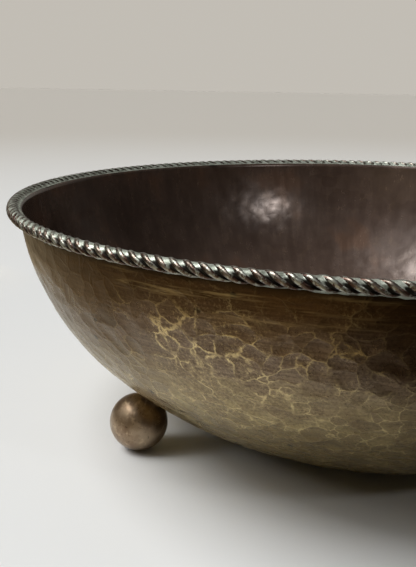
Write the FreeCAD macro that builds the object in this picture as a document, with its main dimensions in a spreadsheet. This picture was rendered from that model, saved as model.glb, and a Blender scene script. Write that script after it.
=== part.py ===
import FreeCAD, Part
import math
import os
import Sketcher

# Footed bowl raised from one sheet of copper. A rope of three twisted copper wires is soft-soldered
# round the outside of its mouth, and three copper balls are soldered under it as feet.
# Millimetres. +Z is up, the bowl's axis is the Z axis, and the feet stand on Z = 0.
# Slopes are measured from vertical: 0 is an upright wall and 90 is a flat bottom.

DIMENSIONS = (
    ("mouth_radius", 171.3, "inside radius of the sheet at its top edge"),
    ("gauge", 1.2, "thickness of the copper sheet"),
    ("edge_height", 112.3, "top edge of the sheet above the table"),
    ("edge_slope", 4.4, "slope of the wall at its top edge, degrees"),
    ("upper_bend", 108.0, "outside radius of the upper wall's arc"),
    ("upper_end", 48.8, "slope where the upper arc ends, degrees"),
    ("lower_bend", 218.0, "outside radius of the lower wall's arc"),
    ("lower_end", 60.0, "slope where the lower arc ends, degrees"),
    ("base_bend", 68.0, "outside radius of the arc that runs into the flat base"),
    ("wire_diameter", 2.44, "copper wire of the rope"),
    ("lay_radius", 1.5, "middle of each wire from the middle of the rope"),
    ("rope_turns", 64, "turns that each wire makes on its way round the mouth"),
    ("rope_drop", 0.3, "middle of the rope below the sheet's top edge"),
    ("solder_film", 0.1, "solder between the rope and the wall"),
    ("rope_clearance", 0.03, "solder's face outside the rope's round envelope"),
    ("lip_cover", 1.0, "how far the solder covers the sheet's top edge"),
    ("lip_angle", 26.0, "where the solder ends on the rope above its side, degrees"),
    ("lip_hollow", 3.0, "radius of the hollow face above"),
    ("under_drop", 4.5, "how far the solder runs down the wall"),
    ("under_angle", 68.0, "where the solder ends on the rope below its side, degrees"),
    ("under_hollow", 3.5, "radius of the hollow face below"),
    ("ball_radius", 13.6, "ball foot"),
    ("ball_flat", 0.15, "depth of the flat filed under each ball"),
    ("ball_seat", 0.8, "depth of the seat filed into each ball where it meets the wall"),
    ("foot_solder_radius", 6.2, "solder round each ball's seat"),
    ("foot_solder_length", 3.0, "length of the plug that the foot solder is cut from"),
)
FEET = (("front_left_foot", -150.0), ("front_right_foot", -30.0), ("back_foot", 90.0))
STRANDS = 3
SAMPLES_PER_TURN = 12
LEAD_IN = 6
SEWING_TOLERANCE = 1e-4
# Control points of a full circle made of four quarter arcs, as (cosine, sine, weight).
QUARTER_WEIGHT = math.sqrt(0.5)
CIRCLE_POLES = (
    (1, 0, 1), (1, 1, QUARTER_WEIGHT), (0, 1, 1), (-1, 1, QUARTER_WEIGHT), (-1, 0, 1),
    (-1, -1, QUARTER_WEIGHT), (0, -1, 1), (1, -1, QUARTER_WEIGHT), (1, 0, 1),
)
CIRCLE_KNOTS = (0.0, 0.25, 0.5, 0.75, 1.0)
CIRCLE_MULTIPLICITIES = (3, 2, 2, 2, 3)
UP = FreeCAD.Vector(0, 0, 1)
SKETCH_ORIGIN = -1
SKETCH_VERTICAL_AXIS = -2
START, END, CENTRE = 1, 2, 3

document = FreeCAD.newDocument("footed_bowl")
sheet = document.addObject("Spreadsheet::Sheet", "dims")
for row, (alias, value, note) in enumerate(DIMENSIONS, start=1):
    sheet.set("A%d" % row, str(value))
    sheet.set("B%d" % row, note)
    sheet.setAlias("A%d" % row, alias)
document.recompute()


def dim(alias):
    """A driving dimension, read back from the sheet."""
    return float(getattr(sheet, alias))


def slope_normal(degrees):
    """Outward normal, as (radius, height), of a wall with this slope."""
    angle = math.radians(degrees)
    return FreeCAD.Vector(math.cos(angle), -math.sin(angle), 0)


def sheet_edge():
    """Outer corner of the sheet's top edge, as (radius, height)."""
    return FreeCAD.Vector(dim("mouth_radius") + dim("gauge"), dim("edge_height"), 0)


def wall_arcs():
    """The outer wall's arcs from the top down, each as (centre, radius, first slope, last slope)."""
    arcs = []
    joint = sheet_edge()
    slope = dim("edge_slope")
    for bend, last_slope in (
        (dim("upper_bend"), dim("upper_end")),
        (dim("lower_bend"), dim("lower_end")),
        (dim("base_bend"), 90.0),
    ):
        centre = joint - slope_normal(slope) * bend
        arcs.append((centre, bend, slope, last_slope))
        joint = centre + slope_normal(last_slope) * bend
        slope = last_slope
    return arcs


def rope_centre():
    """Middle of the rope, as (radius, height)."""
    return FreeCAD.Vector(sheet_edge().x + dim("solder_film") + rope_radius(),
                          dim("edge_height") - dim("rope_drop"), 0)


def rope_radius():
    """Radius of the rope's round envelope."""
    return dim("lay_radius") + dim("wire_diameter") / 2


def foot_centre_and_normal():
    """Middle of a ball that stands on the table and sits in its seat, and the wall's normal there."""
    centre, bend = wall_arcs()[1][:2]
    reach = bend + dim("ball_radius") - dim("ball_seat")
    height = dim("ball_radius") - dim("ball_flat")
    slope = math.degrees(math.asin((centre.y - height) / reach))
    normal = slope_normal(slope)
    return centre + normal * reach, normal


def turned(vector, azimuth):
    """A (radius, height) pair as a point or direction in space at this azimuth."""
    angle = math.radians(azimuth)
    return FreeCAD.Vector(vector.x * math.cos(angle), vector.x * math.sin(angle), vector.y)


def new_sketch(body, name):
    """A sketch on the body's XZ plane, so that x is the radius and y is the height."""
    sketch = body.newObject("Sketcher::SketchObject", name)
    plane = [item for item in body.Origin.OriginFeatures if item.Role == "XZ_Plane"][0]
    sketch.AttachmentSupport = [(plane, "")]
    sketch.MapMode = "FlatFace"
    return sketch


def constrain(sketch, *constraints):
    """Add plain geometric constraints to a sketch."""
    for constraint in constraints:
        sketch.addConstraint(Sketcher.Constraint(*constraint))


def drive(sketch, name, expression, *constraint):
    """Add a dimension to a sketch and bind it to the sheet."""
    index = sketch.addConstraint(Sketcher.Constraint(*constraint))
    sketch.renameConstraint(index, name)
    sketch.setExpression("Constraints." + name, expression)


def drive_sine(sketch, slope, radius, arc, point):
    """Hold an arc's end at the slope that the sheet gives, by its height from the arc's centre."""
    height = dim(radius) * math.sin(math.radians(dim(slope)))
    drive(sketch, slope, "dims.%s * sin(dims.%s * 1 deg)" % (radius, slope),
          "DistanceY", arc, point, arc, CENTRE, height)


def arc_geometry(centre, radius, first_point, last_point):
    """The arc that runs anticlockwise from the first point to the last."""
    angles = [math.atan2(point.y - centre.y, point.x - centre.x) for point in (first_point, last_point)]
    return Part.ArcOfCircle(Part.Circle(centre, UP, radius), *angles)


def hollow_centre(first_point, last_point, radius):
    """Centre of an arc of this radius, to the right of the way from the first point to the last."""
    chord = last_point - first_point
    reach = math.sqrt(radius ** 2 - (chord.Length / 2) ** 2)
    side = FreeCAD.Vector(chord.y, -chord.x, 0).normalize()
    return (first_point + last_point) / 2 + side * reach


def draw_outline(sketch):
    """Half of the bowl's outer form, closed along its axis and across its mouth."""
    arcs = wall_arcs()
    edge = sheet_edge()
    base_edge = arcs[2][0] - FreeCAD.Vector(0, dim("base_bend"), 0)
    axis_top = FreeCAD.Vector(0, edge.y, 0)
    axis_foot = FreeCAD.Vector(0, base_edge.y, 0)
    mouth = sketch.addGeometry(Part.LineSegment(axis_top, edge))
    upper, lower, bottom = (
        sketch.addGeometry(arc_geometry(centre, bend, centre + slope_normal(last_slope),
                                        centre + slope_normal(first_slope)))
        for centre, bend, first_slope, last_slope in arcs
    )
    base = sketch.addGeometry(Part.LineSegment(base_edge, axis_foot))
    axis = sketch.addGeometry(Part.LineSegment(axis_foot, axis_top))
    constrain(
        sketch,
        ("Coincident", mouth, END, upper, END),
        ("Tangent", upper, START, lower, END),
        ("Tangent", lower, START, bottom, END),
        ("Tangent", bottom, START, base, START),
        ("Coincident", base, END, axis, START),
        ("Coincident", axis, END, mouth, START),
        ("PointOnObject", mouth, START, SKETCH_VERTICAL_AXIS),
        ("Horizontal", mouth),
        ("Horizontal", base),
        ("Vertical", axis),
    )
    drive(sketch, "edge_radius", "dims.mouth_radius + dims.gauge",
          "DistanceX", SKETCH_ORIGIN, START, mouth, END, edge.x)
    drive(sketch, "edge_height", "dims.edge_height",
          "DistanceY", SKETCH_ORIGIN, START, mouth, END, edge.y)
    for arc, bend in ((upper, "upper_bend"), (lower, "lower_bend"), (bottom, "base_bend")):
        drive(sketch, bend, "dims." + bend, "Radius", arc, dim(bend))
    drive_sine(sketch, "edge_slope", "upper_bend", upper, END)
    drive_sine(sketch, "upper_end", "upper_bend", upper, START)
    drive_sine(sketch, "lower_end", "lower_bend", lower, START)


def draw_rim_solder(sketch):
    """Section of the rim's solder: over the sheet's edge, behind the rope, and down the wall."""
    edge = sheet_edge()
    wall_centre, wall_bend = wall_arcs()[0][:2]
    lip = edge - FreeCAD.Vector(dim("lip_cover"), 0, 0)
    foot_height = edge.y - dim("under_drop")
    foot = FreeCAD.Vector(wall_centre.x + math.sqrt(wall_bend ** 2 - (wall_centre.y - foot_height) ** 2),
                          foot_height, 0)
    middle = rope_centre()
    face_radius = rope_radius() + dim("rope_clearance")
    face_top, face_foot = (
        middle + FreeCAD.Vector(-math.cos(angle), math.sin(angle), 0) * face_radius
        for angle in (math.radians(dim("lip_angle")), -math.radians(dim("under_angle")))
    )
    land = sketch.addGeometry(Part.LineSegment(lip, edge))
    wall = sketch.addGeometry(arc_geometry(wall_centre, wall_bend, foot, edge))
    under = sketch.addGeometry(arc_geometry(hollow_centre(foot, face_foot, dim("under_hollow")),
                                            dim("under_hollow"), face_foot, foot))
    face = sketch.addGeometry(arc_geometry(middle, face_radius, face_top, face_foot))
    top = sketch.addGeometry(arc_geometry(hollow_centre(face_top, lip, dim("lip_hollow")),
                                          dim("lip_hollow"), lip, face_top))
    constrain(
        sketch,
        ("Horizontal", land),
        ("Coincident", land, END, wall, END),
        ("Coincident", wall, START, under, END),
        ("Coincident", under, START, face, END),
        ("Coincident", face, START, top, END),
        ("Coincident", top, START, land, START),
    )
    drive(sketch, "edge_radius", "dims.mouth_radius + dims.gauge",
          "DistanceX", SKETCH_ORIGIN, START, land, END, edge.x)
    drive(sketch, "edge_height", "dims.edge_height",
          "DistanceY", SKETCH_ORIGIN, START, land, END, edge.y)
    drive(sketch, "lip_cover", "dims.lip_cover", "DistanceX", land, START, land, END, dim("lip_cover"))
    drive(sketch, "upper_bend", "dims.upper_bend", "Radius", wall, wall_bend)
    drive_sine(sketch, "edge_slope", "upper_bend", wall, END)
    drive(sketch, "under_drop", "dims.under_drop",
          "DistanceY", wall, START, wall, END, dim("under_drop"))
    drive(sketch, "rope_place", "dims.solder_film + dims.lay_radius + dims.wire_diameter / 2",
          "DistanceX", land, END, face, CENTRE, middle.x - edge.x)
    drive(sketch, "rope_drop", "dims.rope_drop", "DistanceY", face, CENTRE, land, END, dim("rope_drop"))
    face_size = "(dims.lay_radius + dims.wire_diameter / 2 + dims.rope_clearance)"
    drive(sketch, "face_radius", face_size, "Radius", face, face_radius)
    drive(sketch, "lip_angle", face_size + " * sin(dims.lip_angle * 1 deg)",
          "DistanceY", face, CENTRE, face, START, face_top.y - middle.y)
    drive(sketch, "under_angle", face_size + " * sin(dims.under_angle * 1 deg)",
          "DistanceY", face, END, face, CENTRE, middle.y - face_foot.y)
    drive(sketch, "lip_hollow", "dims.lip_hollow", "Radius", top, dim("lip_hollow"))
    drive(sketch, "under_hollow", "dims.under_hollow", "Radius", under, dim("under_hollow"))


def turned_body(label, draw):
    """A body whose section is turned once round the bowl's axis."""
    body = document.addObject("PartDesign::Body", label)
    body.Label = label
    sketch = new_sketch(body, label + "_section")
    draw(sketch)
    revolution = body.newObject("PartDesign::Revolution", label + "_turned")
    revolution.Profile = sketch
    revolution.ReferenceAxis = (sketch, ["V_Axis"])
    revolution.Angle = 360
    document.recompute()
    return body, revolution


def bowl():
    """The raised sheet: the outer form, hollowed to the sheet's thickness and open at its mouth."""
    body, revolution = turned_body("bowl_body", draw_outline)
    faces = revolution.Shape.Faces
    mouth = max(range(len(faces)), key=lambda index: faces[index].CenterOfMass.z)
    hollow = body.newObject("PartDesign::Thickness", "bowl_hollow")
    hollow.Base = (revolution, ["Face%d" % (mouth + 1)])
    hollow.Reversed = True
    hollow.setExpression("Value", "dims.gauge")
    body.Tip = hollow
    document.recompute()
    return body


def wire_ring(step, phase):
    """Control points of the circle round one wire at this step, and the way the wire runs."""
    turn = 2 * math.pi * step / SAMPLES_PER_TURN
    azimuth = turn / dim("rope_turns")
    twist = turn + phase
    middle = rope_centre()
    outward = FreeCAD.Vector(math.cos(azimuth), math.sin(azimuth), 0)
    along = FreeCAD.Vector(-math.sin(azimuth), math.cos(azimuth), 0)
    from_rope = outward * math.cos(twist) - UP * math.sin(twist)
    twisting = -outward * math.sin(twist) - UP * math.cos(twist)
    wire_middle = outward * middle.x + UP * middle.y + from_rope * dim("lay_radius")
    ring_radius = middle.x + dim("lay_radius") * math.cos(twist)
    run = along * ring_radius + twisting * (dim("lay_radius") * dim("rope_turns"))
    across = run.normalize().cross(from_rope)
    wire_radius = dim("wire_diameter") / 2
    return [wire_middle + (from_rope * cosine + across * sine) * wire_radius
            for cosine, sine, _ in CIRCLE_POLES]


def wire_turn(phase):
    """Skin of one wire over one turn of the rope, taken from the middle of a longer stretch."""
    steps = range(-LEAD_IN, SAMPLES_PER_TURN + LEAD_IN + 1)
    curves = []
    for path in zip(*(wire_ring(step, phase) for step in steps)):
        curve = Part.BSplineCurve()
        curve.interpolate(Points=list(path), Parameters=[float(step) for step in steps])
        curves.append(curve)
    poles = [list(ring) for ring in zip(*(curve.getPoles() for curve in curves))]
    weights = [[weight for _, _, weight in CIRCLE_POLES] for _ in poles]
    skin = Part.BSplineSurface()
    skin.buildFromPolesMultsKnots(
        poles, curves[0].getMultiplicities(), CIRCLE_MULTIPLICITIES,
        curves[0].getKnots(), CIRCLE_KNOTS, False, False, curves[0].Degree, 2, weights,
    )
    skin.segment(0.0, float(SAMPLES_PER_TURN), 0.0, 1.0)
    return skin


def ring_of_turns(label, turn_faces):
    """A closed ring sewn from the faces over one turn of the rope, set round the whole mouth."""
    turns = int(dim("rope_turns"))
    faces = []
    for turn in range(turns):
        for turn_face in turn_faces:
            face = turn_face.copy()
            face.rotate(FreeCAD.Vector(), UP, 360.0 * turn / turns)
            faces.append(face)
    skin = Part.makeCompound(faces)
    skin.sewShape(SEWING_TOLERANCE)
    solid = Part.Solid(skin.Shells[0])
    if solid.Volume < 0:
        solid.reverse()
    ring = document.addObject("Part::Feature", label)
    ring.Label = label
    ring.Shape = solid
    ring.Placement = FreeCAD.Placement()
    return ring


def rope_strand(index):
    """One wire of the rope, butted end to end: a right-handed helix that follows the mouth."""
    skin = wire_turn(2 * math.pi * index / STRANDS)
    return ring_of_turns("rope_strand_%d" % (index + 1), [skin.toShape()])


def rim_solder():
    """Solder round the mouth, in lengths of one turn: long faces would mesh coarsely for its film."""
    body = document.addObject("PartDesign::Body", "rim_solder_form")
    sketch = new_sketch(body, "rim_solder_section")
    draw_rim_solder(sketch)
    document.recompute()
    outline = sketch.Shape.Wires[0]
    turn = outline.revolve(FreeCAD.Vector(), UP, 360.0 / dim("rope_turns"))
    return ring_of_turns("rim_solder", turn.Faces)


def cut(label, base, tool):
    """The base with the tool taken away."""
    result = document.addObject("Part::Cut", label)
    result.Label = label
    result.Base = base
    result.Tool = tool
    return result


def foot(label, azimuth, outer_form):
    """A ball foot and its solder: the ball has a flat below and a seat that fits the wall."""
    centre, normal = foot_centre_and_normal()
    place = turned(centre, azimuth)
    direction = turned(normal, azimuth)
    round_ball, flat_ball = (
        document.addObject("Part::Sphere", label + suffix) for suffix in ("_round", "_flat_below")
    )
    for ball in (round_ball, flat_ball):
        ball.setExpression("Radius", "dims.ball_radius")
        ball.Placement = FreeCAD.Placement(place, FreeCAD.Rotation())
    flat_ball.setExpression("Angle1", "-asin(1 - dims.ball_flat / dims.ball_radius)")
    ball = cut(label, flat_ball, outer_form)
    plug = document.addObject("Part::Cylinder", label + "_plug")
    plug.setExpression("Radius", "dims.foot_solder_radius")
    plug.setExpression("Height", "dims.foot_solder_length")
    seat_centre = place - direction * (dim("ball_radius") - dim("ball_seat"))
    plug.Placement = FreeCAD.Placement(
        seat_centre - direction * (dim("foot_solder_length") / 2), FreeCAD.Rotation(UP, direction))
    solder = cut(label + "_solder", cut(label + "_plug_off_wall", plug, outer_form), round_ball)
    return [ball, solder]


def check_and_write(pieces):
    """Stop if any object failed, then write each sub-part's shape to a file named after it."""
    document.recompute()
    for item in document.Objects:
        if {"Invalid", "Error"} & set(item.State):
            raise RuntimeError("%s failed: %s" % (item.Name, item.State))
    for piece in pieces:
        if piece.Shape.isNull() or not piece.Shape.isValid() or len(piece.Shape.Solids) != 1:
            raise RuntimeError("%s is not one valid solid" % piece.Label)
    os.makedirs("parts", exist_ok=True)
    for piece in pieces:
        piece.Shape.exportStep("parts/%s.step" % piece.Label)
        box = piece.Shape.BoundBox
        print("%-24s volume %9.1f mm3, height %7.2f to %7.2f mm"
              % (piece.Label, piece.Shape.Volume, box.ZMin, box.ZMax))


def compare_wire(strand):
    """Print a wire's volume beside its section times its length."""
    lay = 2 * math.pi * rope_centre().x / dim("rope_turns")
    length = dim("rope_turns") * math.hypot(lay, 2 * math.pi * dim("lay_radius"))
    section = math.pi * dim("wire_diameter") ** 2 / 4
    print("wire of %.0f mm: section times length %.1f, volume %.1f mm3"
          % (length, section * length, strand.Shape.Volume))


outer_form = turned_body("outer_form", draw_outline)[0]
pieces = [bowl()]
pieces.append(rim_solder())
pieces.extend(rope_strand(index) for index in range(STRANDS))
for label, azimuth in FEET:
    pieces.extend(foot(label, azimuth, outer_form))
check_and_write(pieces)
compare_wire(document.getObject("rope_strand_1"))
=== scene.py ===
import math

import bmesh
import bpy
import numpy as np
from mathutils import Matrix, Vector


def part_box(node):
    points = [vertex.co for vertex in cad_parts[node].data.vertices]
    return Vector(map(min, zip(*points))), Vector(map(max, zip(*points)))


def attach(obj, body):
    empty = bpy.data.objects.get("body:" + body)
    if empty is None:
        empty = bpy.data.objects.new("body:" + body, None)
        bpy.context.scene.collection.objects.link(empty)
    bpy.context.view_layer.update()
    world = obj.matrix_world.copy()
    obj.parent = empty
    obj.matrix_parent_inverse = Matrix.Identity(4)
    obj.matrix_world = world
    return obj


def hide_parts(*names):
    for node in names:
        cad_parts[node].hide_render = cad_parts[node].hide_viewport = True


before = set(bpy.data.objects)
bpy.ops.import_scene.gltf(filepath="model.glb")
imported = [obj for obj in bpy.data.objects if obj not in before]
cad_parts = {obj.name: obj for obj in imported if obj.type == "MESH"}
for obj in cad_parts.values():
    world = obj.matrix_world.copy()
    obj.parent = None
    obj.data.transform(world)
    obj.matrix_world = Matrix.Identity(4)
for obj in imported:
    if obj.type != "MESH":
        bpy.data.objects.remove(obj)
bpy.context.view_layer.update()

# Looks for a footed copper bowl: hammered and patinated sheet, a soldered wire rope, ball feet.
# Metres, with the bowl's axis at the origin and Z up. Places come from the frame's nodes. Slopes
# are in degrees from the vertical, as in the CAD, and azimuths in degrees round the axis.

MM = 0.001

# ---- sizes, from the frame's boxes and from the wall's section ----
bowl_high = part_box("bowl_body")[1]
rope_low, rope_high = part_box("rope_strand_1")
EDGE_RADIUS = bowl_high.x
EDGE_HEIGHT = bowl_high.z
ROPE_RADIUS = (rope_high.z - rope_low.z) / 2
ROPE_HEIGHT = (rope_high.z + rope_low.z) / 2
ROPE_RING = rope_high.x - ROPE_RADIUS
GAUGE = 1.2 * MM
EDGE_SLOPE = 4.4
# the wall's arcs from the edge down: outside radius, and the slope where each ends
WALL_BENDS = ((108.0 * MM, 48.8), (218.0 * MM, 60.0), (68.0 * MM, 90.0))
ROPE_TURNS = 64
WIRE_RADIUS = 1.22 * MM
LAY_RADIUS = ROPE_RADIUS - WIRE_RADIUS
STRANDS = ("rope_strand_1", "rope_strand_2", "rope_strand_3")
FEET = ("front_left_foot", "front_right_foot", "back_foot")

# ---- hammering ----
CELL = 8.4 * MM                  # size of one mark
CELL_STRETCH = (1.0, 1.0, 1.25)
WIDE_WARP = 2.4 * MM             # how far the marks' pattern is bent out of shape
FINE_WARP = 0.8 * MM
OUTER_DISH = 0.38 * MM           # depth of a mark
INNER_DISH = 0.17 * MM
DISH_REACH = 0.66                # from a mark's middle to its rim, in cells
CALM_EDGE = 3.0                  # the marks start to deepen at this many mm below the edge
CALM_FADE = 11.0                 # and reach their full depth over this many
WALL_UNEVEN = 0.16 * MM
OUTER_SPACING = 1.5 * MM         # between the mesh's vertices
INNER_SPACING = 2.2 * MM

# ---- solder ----
SOLDER_STEPS = ROPE_TURNS * 20
SHARES = (0.25, 0.5, 0.75)       # rows of a hollow face between its two ends
HALF_VALLEY = math.radians(60.0)  # round the rope, from a groove's middle to the next wire's
SHEET_OVERLAP = 0.05 * MM        # how far the rim's solder reaches into the sheet
DRIP_WIDTH = 0.95 * MM
# azimuth, and length in mm
DRIPS = ((-141.6, 1.3), (-139.9, 1.7), (-137.7, 1.5), (-60.0, 0.9), (-12.0, 1.2), (31.0, 0.8),
         (66.5, 1.4), (104.0, 0.9), (151.0, 1.1), (-172.0, 0.8))

FILLET_REACH = 8.1 * MM          # of a foot's solder along the wall
FILLET_STEPS = 96
# how far a foot's solder reaches under the wall's skin, so that it meets the dishes
SOLDER_SINK = 0.5 * MM

# ---- feet ----
BALL_RADIUS = 13.6 * MM
BALL_SEEDS = (81, 91, 101)
FRONT_KNOCK = (-0.72, -0.66, -0.12)
KNOCKS = 9

# ---- the card that only reflections meet: a painted reflection of the shaded room ----
# its near edge on the floor, from the left round the front to the right
FLAG_EDGE = ((-0.27, 0.26), (-0.305, 0.12), (-0.265, 0.02), (-0.235, -0.04), (-0.21, -0.09),
             (-0.185, -0.15), (-0.14, -0.185), (-0.08, -0.20), (0.0, -0.188), (0.10, -0.175),
             (0.40, -0.12), (0.75, 0.0))
FLAG_HEIGHT = 0.5
FLAG_LIFT = 0.002
FLAG_FEATHER = 0.09              # width of its soft edge, as a share of the distance


def random_waves(points, wavelength, seed, count=28):
    """Smooth unevenness of about -1 to 1 at each point, from a sum of plane waves."""
    generator = np.random.default_rng(seed)
    total = np.zeros(len(points))
    for _ in range(count):
        direction = generator.normal(size=3)
        direction /= np.linalg.norm(direction)
        length = wavelength * generator.uniform(0.7, 1.5)
        phase = generator.uniform(0, 2 * math.pi)
        total += np.sin(points @ direction * (2 * math.pi / length) + phase)
    return total / math.sqrt(count)


def add_mesh(name, vertices, faces, smooth=True):
    """A mesh object from arrays of vertices and faces."""
    mesh = bpy.data.meshes.new(name)
    mesh.from_pydata([tuple(v) for v in vertices], [], [tuple(int(i) for i in f) for f in faces])
    mesh.validate()
    if smooth:
        mesh.polygons.foreach_set("use_smooth", [True] * len(mesh.polygons))
    piece = bpy.data.objects.new(name, mesh)
    bpy.context.scene.collection.objects.link(piece)
    return piece


def set_attribute(mesh, name, kind, values):
    """A point attribute from an array."""
    attribute = mesh.attributes.new(name, kind, "POINT")
    field = "vector" if kind == "FLOAT_VECTOR" else "value"
    attribute.data.foreach_set(field, np.asarray(values, dtype=np.float32).ravel())


def get_points(mesh):
    """The mesh's vertices as an array."""
    points = np.empty(len(mesh.vertices) * 3)
    mesh.vertices.foreach_get("co", points)
    return points.reshape(-1, 3)


# ---------------------------------------------------------------- nodes
class Shading:
    """A material's node tree, with short calls for the nodes that the patinas use."""

    def __init__(self, name):
        self.material = bpy.data.materials.new(name)
        self.material.use_nodes = True
        self.tree = self.material.node_tree
        self.shader = self.tree.nodes["Principled BSDF"]
        self.place = self.node("ShaderNodeTexCoord").outputs["Object"]

    def node(self, kind, **settings):
        made = self.tree.nodes.new(kind)
        for name, value in settings.items():
            setattr(made, name, value)
        return made

    def feed(self, socket, value):
        if isinstance(value, bpy.types.NodeSocket):
            self.tree.links.new(value, socket)
        else:
            socket.default_value = value

    def attribute(self, name):
        return self.node("ShaderNodeAttribute", attribute_name=name)

    def math(self, operation, first, second=0.0, third=0.0, clamp=False):
        made = self.node("ShaderNodeMath", operation=operation, use_clamp=clamp)
        for socket, value in zip(made.inputs, (first, second, third)):
            self.feed(socket, value)
        return made.outputs[0]

    def vector(self, operation, first, second=None):
        made = self.node("ShaderNodeVectorMath", operation=operation)
        self.feed(made.inputs[0], first)
        if second is not None:
            self.feed(made.inputs[3 if operation == "SCALE" else 1], second)
        return made.outputs[1 if operation == "LENGTH" else 0]

    def split(self, vector):
        """X, Y and Z of a vector."""
        made = self.node("ShaderNodeSeparateXYZ")
        self.feed(made.inputs[0], vector)
        return made.outputs

    def stretched(self, scale):
        """The place with its axes scaled, for grain that runs one way."""
        made = self.node("ShaderNodeMapping")
        self.feed(made.inputs["Vector"], self.place)
        made.inputs["Scale"].default_value = scale
        return made.outputs[0]

    def noise(self, scale, detail=2.0, roughness=0.5, vector=None, colour=False):
        made = self.node("ShaderNodeTexNoise")
        self.feed(made.inputs["Vector"], self.place if vector is None else vector)
        made.inputs["Scale"].default_value = scale
        made.inputs["Detail"].default_value = detail
        made.inputs["Roughness"].default_value = roughness
        return made.outputs["Color" if colour else "Fac"]

    def voronoi(self, scale, vector, feature="F1", output="Distance"):
        made = self.node("ShaderNodeTexVoronoi", feature=feature)
        self.feed(made.inputs["Vector"], vector)
        made.inputs["Scale"].default_value = scale
        return made.outputs[output]

    def cell_colour(self, hammer):
        """Red, green and blue of each hammer mark's own random colour."""
        made = self.node("ShaderNodeSeparateColor")
        self.feed(made.inputs[0], self.voronoi(1.0, hammer, output="Color"))
        return made.outputs

    def span(self, value, low, high, to_low=0.0, to_high=1.0):
        """The value carried smoothly from low..high to to_low..to_high, and held outside that."""
        made = self.node("ShaderNodeMapRange", interpolation_type="SMOOTHSTEP")
        for socket, given in zip(made.inputs, (value, low, high, to_low, to_high)):
            self.feed(socket, given)
        return made.outputs[0]

    def mix(self, factor, first, second):
        made = self.node("ShaderNodeMix", data_type="RGBA")
        self.feed(made.inputs["Factor"], factor)
        for socket, value in ((made.inputs[6], first), (made.inputs[7], second)):
            self.feed(socket, value if isinstance(value, bpy.types.NodeSocket) else (*value, 1))
        return made.outputs[2]

    def product(self, *values):
        result = values[0]
        for value in values[1:]:
            result = self.math("MULTIPLY", result, value)
        return result

    def inverse(self, value):
        return self.math("SUBTRACT", 1.0, value)

    def hypot(self, first, second):
        squares = self.math("ADD", self.product(first, first), self.product(second, second))
        return self.math("SQRT", squares)

    def from_rope(self):
        """Distance from the rope's middle ring, and height above it."""
        x, y, z = self.split(self.place)
        off_ring = self.math("SUBTRACT", self.hypot(x, y), ROPE_RING)
        off_level = self.math("SUBTRACT", z, ROPE_HEIGHT)
        return self.hypot(off_ring, off_level), off_level

    def bump(self, height, distance):
        made = self.node("ShaderNodeBump")
        made.inputs["Distance"].default_value = distance
        self.feed(made.inputs["Height"], height)
        return made.outputs[0]

    def finish(self, colour, roughness, metallic, normal=None):
        self.feed(self.shader.inputs["Base Color"], colour)
        self.feed(self.shader.inputs["Roughness"], roughness)
        self.feed(self.shader.inputs["Metallic"], metallic)
        if normal is not None:
            self.feed(self.shader.inputs["Normal"], normal)
        return self.material


# ---------------------------------------------------------------- materials
# the outside's colours: each pair is the darker and the lighter end of one ground
GOLD = (0.76, 0.60, 0.30)
PALE_GOLD = (0.72, 0.58, 0.29)
BROWN = (0.090, 0.056, 0.030), (0.160, 0.112, 0.080)
WARM_BROWN = (0.110, 0.066, 0.034)
WORN_BROWN = (0.205, 0.154, 0.114)
# the lower wall's grounds: olive patina made lighter as painted reflection of the pale floor
OLIVE_AND_FLOOR_REFLECTION = (0.262, 0.198, 0.094), (0.430, 0.344, 0.166)
DULL_OLIVE = (0.150, 0.105, 0.046)
CELL_OLIVE = (0.160, 0.112, 0.064)
LOWEST = (0.228, 0.156, 0.044), (0.350, 0.252, 0.080)
# painted shade of the strip below the rope, laid over its brushed patina
PAINTED_SHADE_BROWN = (0.058, 0.028, 0.007)
STREAK_BROWN = (0.035, 0.020, 0.008)
GRAIN_BROWN = (0.030, 0.018, 0.010)
# painted shadow just under the rope
PAINTED_ROPE_SHADOW = (0.018, 0.011, 0.005)
PIT_BLACK = (0.010, 0.007, 0.005)
PAINTED_SHADE_HIDES = 0.65                # how much of the rubbed lines the dark band takes away
# offset of the noise that says where the patina is worn, picked by trial among random ones
WEAR_ZONES = (1.80, -1.55, -0.36)


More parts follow.
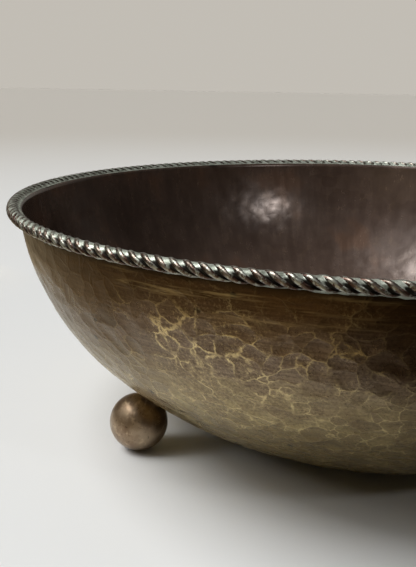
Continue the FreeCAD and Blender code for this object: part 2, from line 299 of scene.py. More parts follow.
def outside_patina():
    """Brown patina over hammered copper, rubbed to gold along the ridges between the marks."""
    s = Shading("outside_patina")
    level = s.math("DIVIDE", s.split(s.place)["Z"], EDGE_HEIGHT)
    hammer = s.attribute("hammer_co").outputs["Vector"]

    # the marks' edges, shaken so that the rubbed lines waver
    shiver = s.vector("SUBTRACT", s.noise(330, 4, 0.7, colour=True), (0.5, 0.5, 0.5))
    shaken = s.vector("ADD", hammer, s.vector("SCALE", shiver, 0.36))
    edge = s.voronoi(1.0, shaken, "DISTANCE_TO_EDGE")
    cell = s.cell_colour(hammer)
    fine_edge = s.voronoi(2.3, shaken, "DISTANCE_TO_EDGE")

    zones = s.noise(13, 2, 0.5, s.vector("ADD", s.place, WEAR_ZONES))
    patches = s.noise(34, 3, 0.6)
    broken = s.noise(105, 4, 0.65)
    grain = s.noise(850, 5, 0.8)
    pits = s.noise(1900, 2, 0.6)
    round_wall = s.stretched((0.06, 0.06, 1.0))
    streaks = s.noise(1000, 4, 0.65, round_wall)
    wide_streaks = s.noise(240, 3, 0.6, round_wall)

    # zones by height: 0 on the floor and 1 at the edge
    # a strip below the edge: brushed patina there, darkened as painted shade under the rope's
    # overhang
    brushed_and_shaded_band = s.product(s.span(level, 0.78, 0.91), s.span(level, 0.985, 0.955))
    # the lower wall, with a wavering top, where the ground turns a lighter olive as painted
    # reflection of the pale floor
    wavering = s.math("MULTIPLY_ADD", s.math("SUBTRACT", patches, 0.5), 0.18, level)
    low = s.span(wavering, 0.74, 0.40)
    base = s.span(level, 0.52, 0.22)
    # painted shadow of the rope: a dark strip just under it
    painted_rope_shadow = s.span(level, 0.935, 0.970)

    # how much is rubbed away: lines along the edges, a haze beside them, and specks
    rub = s.math("MULTIPLY_ADD", patches, 0.6, s.product(broken, 0.35))
    rub = s.math("MULTIPLY_ADD", zones, 0.9, rub)
    rub = s.product(s.span(rub, 0.86, 1.20), s.span(level, 0.96, 0.80, 0.35, 1.0))
    ragged = s.math("MULTIPLY_ADD", s.math("SUBTRACT", grain, 0.5), 0.09, edge)
    width = s.math("MULTIPLY_ADD", rub, 0.050, 0.035)
    line = s.inverse(s.span(ragged, 0.0, width))
    showing = s.math("MAXIMUM", s.math("MULTIPLY_ADD", rub, 0.80, 0.20), s.product(low, 0.85))
    line = s.product(line, s.product(s.span(broken, 0.38, 0.60), showing))
    haze = s.inverse(s.span(edge, 0.0, 0.30))
    haze = s.product(haze, rub, s.span(grain, 0.42, 0.68), 0.22)
    fine = s.inverse(s.span(fine_edge, 0.0, 0.12))
    fine = s.product(fine, s.span(grain, 0.40, 0.62), s.math("MULTIPLY_ADD", low, 0.20, 0.06),
                     s.math("MULTIPLY_ADD", rub, 0.7, 0.3))
    specks = s.product(s.span(grain, 0.54, 0.68),
                       s.math("MULTIPLY_ADD", rub, 0.50, s.product(low, 0.12)))
    brushed = s.product(brushed_and_shaded_band, s.span(streaks, 0.42, 0.64), s.span(wide_streaks, 0.40, 0.66),
                        s.span(zones, 0.42, 0.60), 0.42)
    # the painted shade below the rope hides part of the rubbed lines
    line = s.product(line, s.inverse(s.product(brushed_and_shaded_band, PAINTED_SHADE_HIDES)))
    gold = s.math("MAXIMUM", line, s.math("ADD", haze, s.math("ADD", fine, specks)))
    gold = s.math("MAXIMUM", gold, brushed)
    # the painted shadow just under the rope hides most of the gold
    gold = s.product(gold, s.inverse(s.product(painted_rope_shadow, 0.9)))
    gold = s.math("MULTIPLY", gold, 0.73, clamp=True)

    # the ground under the gold: brown above, a lighter olive below that is partly painted
    # reflection of the pale floor, with painted shade and a painted shadow under the rope
    brown = s.mix(cell["Red"], *BROWN)
    brown = s.mix(s.span(patches, 0.40, 0.62), brown, WARM_BROWN)
    brown = s.mix(s.product(s.span(zones, 0.44, 0.62), 0.45), brown, WORN_BROWN)
    olive_and_floor_reflection = s.mix(s.span(broken, 0.35, 0.65), *OLIVE_AND_FLOOR_REFLECTION)
    olive_and_floor_reflection = s.mix(s.product(s.span(zones, 0.58, 0.40), 0.70), olive_and_floor_reflection, DULL_OLIVE)
    olive_and_floor_reflection = s.mix(s.product(cell["Green"], 0.55), olive_and_floor_reflection, CELL_OLIVE)
    # lighter olive and yellow low down: patina and painted reflection of the pale floor
    ground = s.mix(low, brown, olive_and_floor_reflection)
    ground = s.mix(base, ground, s.mix(s.span(broken, 0.35, 0.65), *LOWEST))
    # painted shade over the strip below the rope
    ground = s.mix(s.product(brushed_and_shaded_band, 0.85), ground, PAINTED_SHADE_BROWN)
    ground = s.mix(s.product(s.span(streaks, 0.60, 0.40), s.span(level, 0.40, 0.80, 0.12, 0.38)),
                   ground, STREAK_BROWN)
    ground = s.mix(s.product(s.span(grain, 0.52, 0.34), 0.45), ground, GRAIN_BROWN)
    # painted shadow just under the rope
    ground = s.mix(painted_rope_shadow, ground, PAINTED_ROPE_SHADOW)
    spots = s.product(s.span(s.voronoi(62, s.place), 0.10, 0.05), s.span(patches, 0.47, 0.52))
    spots = s.math("MAXIMUM", spots, s.product(s.span(pits, 0.70, 0.76), 0.8))
    ground = s.mix(spots, ground, PIT_BLACK)
    colour = s.mix(gold, ground, s.mix(low, GOLD, PALE_GOLD))

    metallic = s.math("MULTIPLY_ADD", gold, 0.06, 0.94)
    smear = s.noise(150, 3, 0.6)
    roughness = s.math("MULTIPLY_ADD", smear, 0.20, 0.14)
    roughness = s.math("MULTIPLY_ADD", brushed_and_shaded_band, 0.06, s.math("MULTIPLY_ADD", grain, 0.08, roughness))

    relief = s.math("ADD", s.product(s.span(edge, 0.0, 0.16), -0.8), s.product(grain, 0.30))
    relief = s.math("ADD", relief, s.product(s.span(fine_edge, 0.0, 0.3), -0.20))
    relief = s.math("ADD", relief, s.product(streaks, s.math("MULTIPLY_ADD", brushed_and_shaded_band, 0.35, 0.12)))
    s.shader.inputs["Specular Tint"].default_value = (0.99, 0.955, 0.88, 1)
    return s.finish(colour, roughness, metallic, s.bump(relief, 0.07 * MM))


INNER_BROWN = (0.105, 0.068, 0.051), (0.150, 0.103, 0.081)
INNER_CELL = (0.180, 0.124, 0.096)
INNER_RUST = (0.215, 0.118, 0.072)
INNER_MOTTLE = (0.190, 0.125, 0.078)
INNER_WIPED = (0.066, 0.041, 0.032)
INNER_RUBBED = (0.22, 0.15, 0.10)


def inside_patina():
    """The bowl's inside: a dark, even brown with softer marks than outside."""
    s = Shading("inside_patina")
    hammer = s.attribute("hammer_co").outputs["Vector"]
    edge = s.voronoi(1.0, hammer, "DISTANCE_TO_EDGE")
    cell = s.cell_colour(hammer)
    x, y, z = s.split(s.place)
    ring = s.hypot(x, y)
    # a place that runs short down the wall, so that this noise makes wiped streaks there
    down_wall = s.node("ShaderNodeCombineXYZ")
    s.feed(down_wall.inputs[0], s.math("DIVIDE", s.product(x, 0.13), ring))
    s.feed(down_wall.inputs[1], s.math("DIVIDE", s.product(y, 0.13), ring))
    s.feed(down_wall.inputs[2], s.product(z, 0.22))
    wiped = s.noise(160, 4, 0.6, down_wall.outputs[0])
    wiped = s.math("MULTIPLY_ADD", s.math("SUBTRACT", wiped, 0.5), s.span(ring, 0.04, 0.16), 0.5)
    patches = s.noise(22, 3, 0.6)
    mottle = s.noise(160, 4, 0.65)
    grain = s.noise(900, 3, 0.7)
    colour = s.mix(s.span(patches, 0.38, 0.62), *INNER_BROWN)
    colour = s.mix(s.product(cell["Red"], 0.4), colour, INNER_CELL)
    colour = s.mix(s.product(s.span(patches, 0.53, 0.68), 0.6), colour, INNER_RUST)
    colour = s.mix(s.product(s.span(mottle, 0.50, 0.72), 0.3), colour, INNER_MOTTLE)
    colour = s.mix(s.product(s.span(wiped, 0.58, 0.38), 0.32), colour, INNER_WIPED)
    rubbed = s.product(s.span(edge, 0.07, 0.0), s.span(mottle, 0.45, 0.62), 0.08)
    colour = s.mix(rubbed, colour, INNER_RUBBED)
    roughness = s.math("MULTIPLY_ADD", mottle, 0.12, s.math("MULTIPLY_ADD", wiped, 0.22, 0.08))
    relief = s.math("ADD", s.product(s.span(edge, 0.0, 0.2), -0.12), s.product(grain, 0.12))
    relief = s.math("ADD", relief, s.product(wiped, 0.5))
    s.shader.inputs["Specular IOR Level"].default_value = 1.0
    return s.finish(colour, roughness, 0.35, s.bump(relief, 0.05 * MM))


WIRE_BROWN = (0.040, 0.021, 0.015), (0.085, 0.045, 0.032)
WIRE_ROSY = (0.20, 0.160, 0.130), (0.33, 0.29, 0.245)
WIRE_TIN = (0.43, 0.455, 0.395)
# painted shade in the grooves between the wires
WIRE_PAINTED_SHADE = (0.010, 0.007, 0.005)


def rope_copper():
    """Copper wire: rubbed pink on the rope's outside with specks of tin, and painted shade, near
    black, in the grooves.
    """
    s = Shading("rope_copper")
    reach, _ = s.from_rope()
    crest = s.span(reach, 2.50 * MM, 2.70 * MM)
    # painted shade: near black deep in the grooves between the wires
    groove = s.span(reach, 2.40 * MM, 2.05 * MM)
    patches = s.noise(70, 3, 0.6)
    grain = s.noise(1200, 4, 0.7)
    rubbed = s.product(crest, s.span(patches, 0.25, 0.5))
    brown = s.mix(s.span(grain, 0.35, 0.65), *WIRE_BROWN)
    rosy = s.mix(s.span(patches, 0.4, 0.6), *WIRE_ROSY)
    colour = s.mix(s.product(rubbed, 0.75), brown, rosy)
    flecks = s.noise(320, 5, 0.75)
    colour = s.mix(s.product(s.span(flecks, 0.50, 0.57), 0.75), colour, WIRE_TIN)
    colour = s.mix(groove, colour, WIRE_PAINTED_SHADE)
    roughness = s.math("MULTIPLY_ADD", grain, 0.18, s.math("MULTIPLY_ADD", flecks, 0.22, 0.12))
    relief = s.math("ADD", s.product(grain, 0.5), flecks)
    return s.finish(colour, roughness, s.math("MULTIPLY_ADD", rubbed, 0.15, 0.80),
                    s.bump(relief, 0.07 * MM))


TIN_BRIGHT = (0.55, 0.59, 0.51)
TIN_DULL = (0.22, 0.24, 0.195)
TIN_UNDER = (0.30, 0.32, 0.265)
# painted shade in the rope's deep grooves
TIN_PAINTED_SHADE = (0.012, 0.010, 0.007)


def rim_solder():
    """Tin solder of the rim: bright where it was wiped, with painted shade, near black, where the
    rope's grooves are deep.
    """
    s = Shading("rim_solder")
    reach, off_level = s.from_rope()
    blots = s.noise(260, 5, 0.75)
    grain = s.noise(1300, 3, 0.7)
    under = s.span(off_level, -1.9 * MM, -2.4 * MM)
    colour = s.mix(s.span(blots, 0.38, 0.62), TIN_BRIGHT, TIN_DULL)
    colour = s.mix(s.product(under, 0.6), colour, TIN_UNDER)
    ragged = s.math("MULTIPLY_ADD", s.math("SUBTRACT", blots, 0.5), 1.0 * MM, reach)
    # painted shade: near black in the deep grooves, though not near the rope's top
    deep = s.product(s.span(ragged, 2.34 * MM, 2.12 * MM), s.span(off_level, 1.5 * MM, 0.8 * MM))
    colour = s.mix(deep, colour, TIN_PAINTED_SHADE)
    roughness = s.math("MULTIPLY_ADD", blots, 0.25, 0.31)
    relief = s.math("ADD", s.product(grain, 0.4), blots)
    return s.finish(colour, roughness, 0.6, s.bump(relief, 0.13 * MM))


FOOT_TIN = (0.30, 0.29, 0.26), (0.12, 0.11, 0.09)


def foot_solder():
    """Tin solder of the feet, wiped and tarnished."""
    s = Shading("foot_solder")
    blots = s.noise(180, 4, 0.65)
    grain = s.noise(1300, 3, 0.7)
    colour = s.mix(s.span(blots, 0.38, 0.62), *FOOT_TIN)
    roughness = s.math("MULTIPLY_ADD", blots, 0.25, 0.30)
    relief = s.math("ADD", s.product(grain, 0.4), blots)
    return s.finish(colour, roughness, 0.85, s.bump(relief, 0.08 * MM))


BALL_BROWN = (0.208, 0.137, 0.083), (0.360, 0.272, 0.183)
BALL_RUBBED = (0.60, 0.46, 0.30)
BALL_DARK = (0.03, 0.018, 0.012)


def ball_patina():
    """Bronze-brown patina of the ball feet, polished by handling and knocked."""
    s = Shading("ball_patina")
    patches = s.noise(85, 4, 0.6)
    grain = s.noise(800, 4, 0.7)
    rubs = s.noise(420, 4, 0.6, s.stretched((1.0, 0.25, 0.8)))
    colour = s.mix(s.span(patches, 0.35, 0.65), *BALL_BROWN)
    colour = s.mix(s.product(s.span(rubs, 0.55, 0.7), 0.5), colour, BALL_RUBBED)
    colour = s.mix(s.product(s.span(grain, 0.44, 0.28), 0.7), colour, BALL_DARK)
    roughness = s.math("MULTIPLY_ADD", rubs, 0.22, 0.22)
    return s.finish(colour, roughness, 0.85, s.bump(grain, 0.05 * MM))


# ---------------------------------------------------------------- camera
MOUTH_MM = 171.3                 # inside radius of the sheet at its edge
CAMERA_AZIMUTH = math.radians(-94.9)
CAMERA_REACH = 2.423 * MOUTH_MM * MM   # from the bowl's axis
CAMERA_LIFT = 0.351 * MOUTH_MM * MM    # above the bowl's edge
CAMERA_YAW = math.radians(11.35)
CAMERA_PITCH = math.radians(14.37)
CAMERA_ROLL = math.radians(0.88)
CAMERA_LENS = 52.0               # mm, on a sensor of the next width
CAMERA_SENSOR = 36.0


def make_camera():
    """Camera at the photograph's angle, aimed left of the bowl's axis, so the frame crops it."""
    towards = Vector((-math.cos(CAMERA_AZIMUTH), -math.sin(CAMERA_AZIMUTH), 0))
    forward = Matrix.Rotation(CAMERA_YAW, 3, "Z") @ towards * math.cos(CAMERA_PITCH)
    forward.z = -math.sin(CAMERA_PITCH)
    level_right = forward.cross(Vector((0, 0, 1))).normalized()
    level_up = level_right.cross(forward)
    right = level_right * math.cos(CAMERA_ROLL) + level_up * math.sin(CAMERA_ROLL)
    up = right.cross(forward)
    data = bpy.data.cameras.new("camera")
    data.lens = CAMERA_LENS
    data.sensor_width = CAMERA_SENSOR
    data.clip_start = 0.01
    camera = bpy.data.objects.new("camera", data)
    place = -towards * CAMERA_REACH + Vector((0, 0, EDGE_HEIGHT + CAMERA_LIFT))
    turn = Matrix((right, up, -forward)).transposed()
    camera.matrix_world = Matrix.Translation(place) @ turn.to_4x4()
    bpy.context.scene.collection.objects.link(camera)
    bpy.context.scene.camera = camera


# ---------------------------------------------------------------- the bowl
def wall_section(depth, spacing):
    """Points of the wall's section from the edge to the axis, and the outward normal at each.

    depth is how far inside the outer face the line runs."""
    points, normals = [], []
    joint = np.array((EDGE_RADIUS, EDGE_HEIGHT))
    slope = math.radians(EDGE_SLOPE)
    for bend, last_slope in WALL_BENDS:
        last = math.radians(last_slope)
        centre = joint - bend * np.array((math.cos(slope), -math.sin(slope)))
        steps = max(2, round((last - slope) * bend / spacing))
        for angle in np.linspace(slope, last, steps, endpoint=False):
            normal = np.array((math.cos(angle), -math.sin(angle)))
            points.append(centre + normal * (bend - depth))
            normals.append(normal)
        joint = centre + bend * np.array((math.cos(last), -math.sin(last)))
        slope = last
    steps = round(joint[0] / spacing)
    for radius in np.linspace(joint[0], 0.0, steps, endpoint=False):
        points.append(np.array((radius, joint[1] + depth)))
        normals.append(np.array((0.0, -1.0)))
    points[0][1] = EDGE_HEIGHT
    return points, normals


def ring_faces(first, first_count, second, second_count):
    """Triangles that join two closed rings of vertices that may differ in count."""
    faces = []
    a = b = 0
    while a < first_count or b < second_count:
        first_is_behind = (a + 0.5) * second_count < (b + 0.5) * first_count
        if b >= second_count or (a < first_count and first_is_behind):
            faces.append((first + a % first_count, second + b % second_count,
                          first + (a + 1) % first_count))
            a += 1
        else:
            faces.append((first + a % first_count, second + b % second_count,
                          second + (b + 1) % second_count))
            b += 1
    return faces


def revolved_skin(points, normals, spacing, start):
    """Rings of vertices round the axis at even spacing, closed by one vertex on the axis."""
    vertices, outward, faces, rings = [], [], [], []
    for index, ((radius, height), (normal_r, normal_z)) in enumerate(zip(points, normals)):
        count = max(12, round(2 * math.pi * radius / spacing))
        rings.append((start + len(vertices), count))
        for angle in (np.arange(count) + 0.5 * (index % 2)) * 2 * math.pi / count:
            vertices.append((radius * math.cos(angle), radius * math.sin(angle), height))
            outward.append((normal_r * math.cos(angle), normal_r * math.sin(angle), normal_z))
    for ring, next_ring in zip(rings, rings[1:]):
        faces.extend(ring_faces(*ring, *next_ring))
    centre = start + len(vertices)
    vertices.append((0.0, 0.0, points[-1][1]))
    outward.append((0.0, 0.0, -1.0))
    first, count = rings[-1]
    faces.extend((first + i, centre, first + (i + 1) % count) for i in range(count))
    return vertices, outward, faces, rings[0]


def evaluate_marks(piece):
    """Distance of each vertex from the middle of its hammer mark, in cells, by geometry nodes."""
    group = bpy.data.node_groups.new("hammer_marks", "GeometryNodeTree")
    for side in ("INPUT", "OUTPUT"):
        group.interface.new_socket("Geometry", in_out=side, socket_type="NodeSocketGeometry")
    start, end = group.nodes.new("NodeGroupInput"), group.nodes.new("NodeGroupOutput")
    place = group.nodes.new("GeometryNodeInputNamedAttribute")
    place.data_type = "FLOAT_VECTOR"
    place.inputs["Name"].default_value = "hammer_co"
    marks = group.nodes.new("ShaderNodeTexVoronoi")
    marks.inputs["Scale"].default_value = 1.0
    store = group.nodes.new("GeometryNodeStoreNamedAttribute")
    store.inputs["Name"].default_value = "from_mark"
    group.links.new(place.outputs["Attribute"], marks.inputs["Vector"])
    group.links.new(start.outputs[0], store.inputs["Geometry"])
    group.links.new(marks.outputs["Distance"], store.inputs["Value"])
    group.links.new(store.outputs[0], end.inputs[0])
    modifier = piece.modifiers.new("hammer_marks", "NODES")
    modifier.node_group = group
    evaluated = piece.evaluated_get(bpy.context.evaluated_depsgraph_get())
    distances = np.empty(len(evaluated.data.vertices))
    evaluated.data.attributes["from_mark"].data.foreach_get("value", distances)
    piece.modifiers.clear()
    bpy.data.node_groups.remove(group)
    return distances


def hammered_bowl():
    """The raised sheet: both faces as one closed mesh, with hammer marks pressed into them."""
    outer_vertices, outer_out, outer_faces, outer_ring = revolved_skin(
        *wall_section(0.0, OUTER_SPACING), OUTER_SPACING, 0)
    outer_count = len(outer_vertices)
    inner_vertices, inner_out, inner_faces, inner_ring = revolved_skin(
        *wall_section(GAUGE, INNER_SPACING), INNER_SPACING, outer_count)
    inner_faces = [face[::-1] for face in inner_faces]
    faces = outer_faces + inner_faces + ring_faces(*inner_ring, *outer_ring)
    piece = add_mesh("hammered_bowl", outer_vertices + inner_vertices, faces)
    mesh = piece.data
    points = np.array(outer_vertices + inner_vertices)
    outward = np.array(outer_out + inner_out)
    outer = np.arange(len(points)) < outer_count

    warp = np.stack([WIDE_WARP * random_waves(points, 30 * MM, seed)
                     + FINE_WARP * random_waves(points, 8.5 * MM, seed + 10)
                     for seed in (1, 2, 3)], axis=1)
    set_attribute(mesh, "hammer_co", "FLOAT_VECTOR", (points + warp) * CELL_STRETCH / CELL)
    distance = evaluate_marks(piece)

    depth_of_blow = 0.75 + 0.35 * random_waves(points, 45 * MM, 21)
    dish = np.clip(1.0 - (distance / DISH_REACH) ** 2, 0.0, 1.0) * np.clip(depth_of_blow, 0.25, 1.3)
    below_edge = (EDGE_HEIGHT - points[:, 2]) / MM
    fade = np.clip((below_edge - CALM_EDGE) / CALM_FADE, 0.0, 1.0)
    uneven = random_waves(points * (1, 1, 2), 85 * MM, 31) - 1.0
    pressed = np.where(outer, OUTER_DISH, INNER_DISH) * dish * (0.25 + 0.75 * fade)
    moved = np.where(outer, -pressed, pressed) + WALL_UNEVEN * uneven * fade
    points += outward * moved[:, None]
    mesh.vertices.foreach_set("co", points.ravel())
    mesh.materials.append(outside_patina())
    mesh.materials.append(inside_patina())
    inside = np.zeros(len(mesh.polygons), dtype=np.int32)
    inside[len(outer_faces):] = 1
    mesh.polygons.foreach_set("material_index", inside)
    mesh.update()
    return piece


# ---------------------------------------------------------------- rim solder and feet
def sweep_faces(count, size):
    """Faces of a closed ring of count sections, each a closed loop of size vertices."""
    faces = []
    for i in range(count):
        near, far = i * size, (i + 1) % count * size
        for j in range(size):
            k = (j + 1) % size
            faces.append((near + j, far + j, far + k, near + k))
    return faces


def bulge(share):
    """0 at the ends of a row of shares and 1 in its middle."""
    return 4 * share * (1 - share)


def swept_ring(sections):
    """Vertices and faces of a ring through closed sections, given as radius and height."""
    count, size = sections.shape[:2]
    azimuth = (np.arange(count) * 2 * math.pi / count)[:, None]
    radius, height = sections[:, :, 0], sections[:, :, 1]
    vertices = np.stack((radius * np.cos(azimuth), radius * np.sin(azimuth), height), axis=2)
    return vertices.reshape(-1, 3), sweep_faces(count, size)


def join_parts(name, parts):
    """One object from several lists of vertices and faces."""
    vertices, faces = [], []
    for part_vertices, part_faces in parts:
        start = len(vertices)
        vertices.extend(part_vertices)
        faces.extend(tuple(start + i for i in face) for face in part_faces)
    piece = add_mesh(name, vertices, faces)
    mesh = bmesh.new()
    mesh.from_mesh(piece.data)
    bmesh.ops.recalc_face_normals(mesh, faces=mesh.faces)
    mesh.to_mesh(piece.data)
    mesh.free()
    return piece


def ring_waves(azimuth, wavelength, seed):
    """Unevenness along the rim, which closes on itself."""
    points = np.stack((np.cos(azimuth), np.sin(azimuth), 0 * azimuth), axis=1) * ROPE_RING
    return random_waves(points, wavelength, seed)


def wall_centre():
    """Centre of the upper wall's arc, as radius and height."""
    bend, slope = WALL_BENDS[0][0], math.radians(EDGE_SLOPE)
    return EDGE_RADIUS - bend * math.cos(slope), EDGE_HEIGHT + bend * math.sin(slope)


def valley_of_solder(azimuth, index):
    """Sections of the solder that fills the rope's groove between two wires."""
    lay = ROPE_TURNS * azimuth + math.radians(60 + 120 * index)
    fill = (2.16 * MM + 0.12 * MM * ring_waves(azimuth, 9 * MM, 41 + index)
            + 0.07 * MM * ring_waves(azimuth, 3 * MM, 51 + index)
            - 0.46 * MM * np.sin(lay + math.radians(25)))
    fill = np.clip(fill, 1.50 * MM, 2.50 * MM)
    dip = (0.16 + 0.07 * ring_waves(azimuth, 6 * MM, 61 + index)) * MM
    off_wire = np.arccos((fill ** 2 + LAY_RADIUS ** 2 - WIRE_RADIUS ** 2) / (2 * fill * LAY_RADIUS))
    half = HALF_VALLEY - off_wire
    across = np.linspace(-1.0, 1.0, 9)
    lean = half[:, None] * across
    reach = fill[:, None] - dip[:, None] * (1 - across ** 2)
    inner_lean = lean[:, -2:0:-2]
    from_wire = np.minimum(HALF_VALLEY - np.abs(inner_lean), math.radians(53.0))
    inner = (LAY_RADIUS * np.cos(from_wire)
             + np.sqrt(WIRE_RADIUS ** 2 - (LAY_RADIUS * np.sin(from_wire)) ** 2))
    lean = np.concatenate((lean, inner_lean), axis=1)
    reach = np.concatenate((reach, inner - 0.03 * MM), axis=1)
    turn = lay[:, None] + lean
    return np.stack((ROPE_RING + reach * np.cos(turn), ROPE_HEIGHT - reach * np.sin(turn)), axis=2)


def bead_of_solder(azimuth):
    """Sections of the solder on the sheet's edge, behind the rope and, with drips, under it."""
    centre_radius, centre_height = wall_centre()
    bend = WALL_BENDS[0][0]
    flat = 0.0 * azimuth

    def wall_radius(height):
        return centre_radius + np.sqrt(bend ** 2 - (centre_height - height) ** 2)

    cover = (0.95 + 0.22 * ring_waves(azimuth, 14 * MM, 71)) * MM
    drop = (4.0 + 0.35 * ring_waves(azimuth, 16 * MM, 72)
            + 0.2 * ring_waves(azimuth, 5 * MM, 73)) * MM
    plump = 0.0 * azimuth
    for degrees, length in DRIPS:
        off = np.angle(np.exp(1j * (azimuth - math.radians(degrees)))) * ROPE_RING
        drip = np.exp(-(off / DRIP_WIDTH) ** 2)
        drop += drip * length * MM
        plump += drip
    lip = np.stack((EDGE_RADIUS - cover, EDGE_HEIGHT + flat), axis=1)
    reach = ROPE_RADIUS - 0.22 * MM
    behind = []
    for degrees in (38, 15, -12, -40, -66):
        lean = math.radians(degrees)
        point = np.array((ROPE_RING - reach * math.cos(lean), ROPE_HEIGHT + reach * math.sin(lean)))
        behind.append(np.broadcast_to(point, lip.shape))
    foot_height = EDGE_HEIGHT - drop
    foot = np.stack((wall_radius(foot_height), foot_height), axis=1)
    wall = []
    for share in (0.7, 0.35):
        height = EDGE_HEIGHT - drop * share
        wall.append(np.stack((wall_radius(height) - SHEET_OVERLAP, height), axis=1))
    corner = np.stack((EDGE_RADIUS - SHEET_OVERLAP + flat,
                       EDGE_HEIGHT - SHEET_OVERLAP + flat), axis=1)
    rows = [lip]
    for share in SHARES:
        row = lip * (1 - share) + behind[0] * share
        rows.append(row + np.array((0.6, -0.8)) * (0.30 * MM * bulge(share)))
    rows += behind
    for share in SHARES:
        row = behind[-1] * (1 - share) + foot * share
        hollow = (0.42 - 0.75 * plump) * MM * bulge(share)
        rows.append(row + np.stack((-0.75 * hollow, 0.6 * hollow), axis=1))
    rows += [foot, *wall, corner]
    return np.stack(rows, axis=1)


def rim_of_solder():
    """Tin solder of the rim: a bead on the sheet's edge and the filled grooves of the rope."""
    azimuth = np.arange(SOLDER_STEPS) * 2 * math.pi / SOLDER_STEPS
    parts = [swept_ring(bead_of_solder(azimuth))]
    parts += [swept_ring(valley_of_solder(azimuth, index)) for index in range(len(STRANDS))]
    piece = join_parts("rim_solder_runs", parts)
    piece.data.materials.append(rim_solder())
    return piece


def under_wall():
    """Centre and outside radius of the arc of the wall that the feet are soldered to."""
    centre = np.array(wall_centre())
    (upper_bend, last_slope), (bend, _) = WALL_BENDS[:2]
    slope = math.radians(last_slope)
    joint = centre + upper_bend * np.array((math.cos(slope), -math.sin(slope)))
    return joint - bend * np.array((math.cos(slope), -math.sin(slope))), bend


def foot_centre(node):
    """Middle of a ball foot, from its box: the seat and the flat leave its equator whole."""
    low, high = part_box(node)
    return np.array(((low.x + high.x) / 2, (low.y + high.y) / 2, high.z - BALL_RADIUS))


def press_against_wall(points, gap):
    """Move the points that are inside the wall out to its face."""
    centre, bend = under_wall()
    radius = np.hypot(points[:, 0], points[:, 1])
    across = np.stack((radius, points[:, 2]), axis=1) - centre
    reach = np.linalg.norm(across, axis=1)
    moved = centre + across * (np.maximum(reach, bend + gap) / reach)[:, None]
    scale = moved[:, 0] / radius
    return np.stack((points[:, 0] * scale, points[:, 1] * scale, moved[:, 1]), axis=1)


def ball_foot(node, seed, material):
    """A copper ball, slightly uneven and knocked, filed flat below and seated on the wall."""
    mesh = bmesh.new()
    bmesh.ops.create_icosphere(mesh, subdivisions=6, radius=1.0)
    piece = add_mesh(node + "_ball", (), ())
    mesh.to_mesh(piece.data)
    mesh.free()
    directions = get_points(piece.data)
    points = directions * BALL_RADIUS
    sunk = (0.07 * MM * (1 + random_waves(points, 11 * MM, seed))
            + 0.012 * MM * (1 + random_waves(points, 3 * MM, seed + 1)))
    generator = np.random.default_rng(seed)
    knocks = generator.normal(size=(KNOCKS, 3))
    if seed == BALL_SEEDS[0]:
        knocks[0] = FRONT_KNOCK
    for knock in knocks:
        knock /= np.linalg.norm(knock)
        off = np.linalg.norm(directions - knock, axis=1) * BALL_RADIUS
        depth = generator.uniform(0.08, 0.22) * MM
        width = generator.uniform(0.7, 1.5) * MM
        sunk += depth * np.exp(-(off / width) ** 2)
    points = directions * (BALL_RADIUS - np.maximum(sunk, 0))[:, None] + foot_centre(node)
    points[:, 2] = np.maximum(points[:, 2], 0.0)
    points = press_against_wall(points, 0.02 * MM)
    piece.data.vertices.foreach_set("co", points.ravel())
    piece.data.polygons.foreach_set("use_smooth", [True] * len(piece.data.polygons))
    piece.data.materials.append(material)
    piece.data.update()
    return piece


def foot_fillet(node, seed, material):
    """Solder run round a ball's seat, hollow between the ball and the wall."""
    middle = foot_centre(node)
    centre, bend = under_wall()
    across = np.array((math.hypot(middle[0], middle[1]), middle[2])) - centre
    across /= np.linalg.norm(across)
    outward = np.array((middle[0], middle[1], 0)) / math.hypot(middle[0], middle[1])
    normal = outward * across[0] + np.array((0, 0, across[1]))
    along = np.cross(normal, outward)
    along /= np.linalg.norm(along)
    up_wall = np.cross(along, normal)
    angle = np.arange(FILLET_STEPS) * 2 * math.pi / FILLET_STEPS
    aside = np.cos(angle)[:, None] * along + np.sin(angle)[:, None] * up_wall
    uneven = 1 + 0.05 * random_waves(aside * 6 * MM, 5 * MM, seed)
    wall_reach = (FILLET_REACH * uneven)[:, None]
    seat = np.linalg.norm(middle - press_against_wall(middle[None] - normal * BALL_RADIUS, 0.0)[0])

    def on_ball(degrees):
        lean = math.radians(degrees)
        turned = aside * math.sin(lean) - normal * math.cos(lean)
        return middle + (BALL_RADIUS - 0.03 * MM) * turned

    def on_wall(reach):
        flat = middle - normal * seat + aside * reach
        radius = np.hypot(flat[:, 0], flat[:, 1])
        off = np.stack((radius, flat[:, 2]), axis=1) - centre
        moved = centre + off * ((bend - SOLDER_SINK) / np.linalg.norm(off, axis=1))[:, None]
        return np.stack((flat[:, 0] * moved[:, 0] / radius, flat[:, 1] * moved[:, 0] / radius,
                         moved[:, 1]), axis=1)

    high, low = on_ball(29), on_wall(wall_reach)
    rows = [high]
    for share in SHARES:
        rows.append(high * (1 - share) + low * share
                    - (normal * 0.55 + aside * 0.6) * (0.28 * MM * bulge(share)))
    rows += [low, on_wall(5.6 * MM), on_ball(24)]
    sections = np.stack(rows, axis=1)
    faces = sweep_faces(FILLET_STEPS, len(rows))
    piece = join_parts(node + "_fillet", [(sections.reshape(-1, 3), faces)])
    piece.data.materials.append(material)
    return piece


# ---------------------------------------------------------------- stage
def make_floor():
    """A plain pale floor."""
    size = 8.0
    corners = [(x * size, y * size, 0) for x, y in ((-1, -1), (1, -1), (1, 1), (-1, 1))]
    floor = add_mesh("floor", corners, ((0, 1, 2, 3),), smooth=False)
    s = Shading("floor")
    away = s.vector("LENGTH", s.place)
    colour = s.mix(s.span(away, 0.3, 2.2), (0.78, 0.79, 0.785), (0.56, 0.53, 0.48))
    floor.data.materials.append(s.finish(colour, 0.45, 0.0))


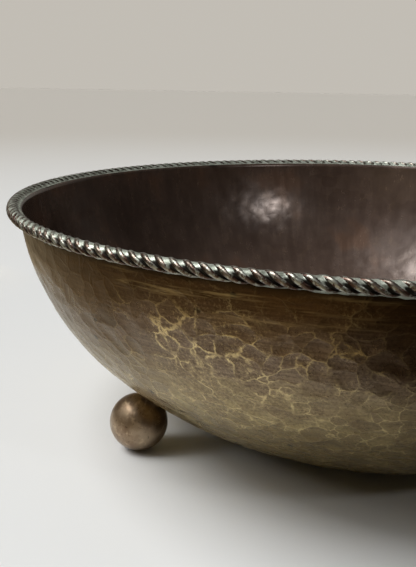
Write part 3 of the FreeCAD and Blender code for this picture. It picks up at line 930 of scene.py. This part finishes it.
def aim_light(name, data, azimuth, elevation, distance):
    """A light at a distance from the origin, turned towards it."""
    light = bpy.data.objects.new(name, data)
    a, e = math.radians(azimuth), math.radians(elevation)
    towards = Vector((math.cos(a) * math.cos(e), math.sin(a) * math.cos(e), math.sin(e)))
    light.location = towards * distance
    light.rotation_mode = "QUATERNION"
    light.rotation_quaternion = towards.to_track_quat("Z", "Y")
    bpy.context.scene.collection.objects.link(light)


def add_area_light(name, azimuth, elevation, distance, size, power, colour):
    """A soft square light aimed at the bowl."""
    data = bpy.data.lights.new(name, "AREA")
    data.shape = "RECTANGLE"
    data.size = data.size_y = size
    data.energy = power
    data.color = colour
    aim_light(name, data, azimuth, elevation, distance)


def add_sun(name, azimuth, elevation, width, strength):
    """A broad, even source: the same everywhere, with shadows as soft as its width in degrees."""
    data = bpy.data.lights.new(name, "SUN")
    data.energy = strength
    data.angle = math.radians(width)
    aim_light(name, data, azimuth, elevation, 1.0)


def make_painted_reflection_card():
    """A brown studio card on the floor round the front of the bowl, which only reflections meet: a
    painted reflection of the shaded room, darker to the right.

    It fades in over its first strip, and stands up at its far end."""
    near, solid = ([(x * reach, y * reach, FLAG_LIFT) for x, y in FLAG_EDGE]
                   for reach in (1 - FLAG_FEATHER, 1 + FLAG_FEATHER))
    far = [(x * 1.9, y * 2.6 - 0.2, FLAG_LIFT) for x, y in FLAG_EDGE]
    top = [(x, y, FLAG_HEIGHT) for x, y, _ in far]
    count = len(near)
    faces = [(i, i + 1, i + 1 + count, i + count)
             for row in range(3) for i in range(row * count, (row + 1) * count - 1)]
    flag = add_mesh("flag", near + solid + far + top, faces)
    set_attribute(flag.data, "cover", "FLOAT", [0.0] * count + [1.0] * count * 3)
    s = Shading("flag")
    s.feed(s.shader.inputs["Alpha"], s.attribute("cover").outputs["Fac"])
    across = s.split(s.place)["X"]
    # painted reflection: paler brown at the left, near black to the right, for the shaded room
    colour = s.mix(s.span(across, -0.10, 0.01), (0.52, 0.43, 0.28), (0.043, 0.023, 0.004))
    flag.data.materials.append(s.finish(colour, 0.9, 0.0))
    flag.visible_camera = flag.visible_diffuse = flag.visible_shadow = False


def make_light():
    """Daylight from the left and the front left, a small lamp at the right, and a plain surround.

    The surround is darker on the right and in front; the camera itself sees it evenly bright."""
    world = bpy.data.worlds.new("surround")
    bpy.context.scene.world = world
    world.use_nodes = True
    tree = world.node_tree
    background = tree.nodes["Background"]
    direction = tree.nodes.new("ShaderNodeTexCoord")
    facing = tree.nodes.new("ShaderNodeVectorMath")
    facing.operation = "DOT_PRODUCT"
    facing.inputs[1].default_value = (-0.5, 0.86, 0.0)
    tree.links.new(direction.outputs["Generated"], facing.inputs[0])
    ramp = tree.nodes.new("ShaderNodeMapRange")
    ramp.interpolation_type = "SMOOTHSTEP"
    for name, value in (("From Min", -0.1), ("From Max", 0.8),
                        ("To Min", 0.05), ("To Max", 0.50)):
        ramp.inputs[name].default_value = value
    tree.links.new(facing.outputs["Value"], ramp.inputs["Value"])
    path = tree.nodes.new("ShaderNodeLightPath")
    choose = tree.nodes.new("ShaderNodeMix")
    choose.inputs["B"].default_value = 1.0
    tree.links.new(path.outputs["Is Camera Ray"], choose.inputs["Factor"])
    tree.links.new(ramp.outputs[0], choose.inputs["A"])
    background.inputs["Color"].default_value = (0.54, 0.51, 0.46, 1)
    tree.links.new(choose.outputs[0], background.inputs["Strength"])
    add_sun("window", -172, 58, 38, 2.95)
    add_sun("front_window", -140, 55, 46, 0.29)
    add_sun("low_window", -165, 33, 18, 0.34)
    add_area_light("lamp", -47, 35, 1.9, 0.11, 2.1, (1.0, 0.99, 0.98))
    bpy.context.scene.view_settings.view_transform = "Standard"


make_camera()
make_floor()
make_painted_reflection_card()
make_light()
bowl = hammered_bowl()
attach(bowl, "root")
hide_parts("bowl_body")

rim = rim_of_solder()
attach(rim, "root")
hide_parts("rim_solder")

ball_material = ball_patina()
fillet_material = foot_solder()
for node, seed in zip(FEET, BALL_SEEDS):
    ball = ball_foot(node, seed, ball_material)
    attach(ball, "root")
    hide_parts(node)
    fillet = foot_fillet(node, seed + 5, fillet_material)
    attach(fillet, "root")
    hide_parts(node + "_solder")

copper = rope_copper()
for node in STRANDS:
    for slot in bpy.data.objects[node].material_slots:
        slot.material = copper
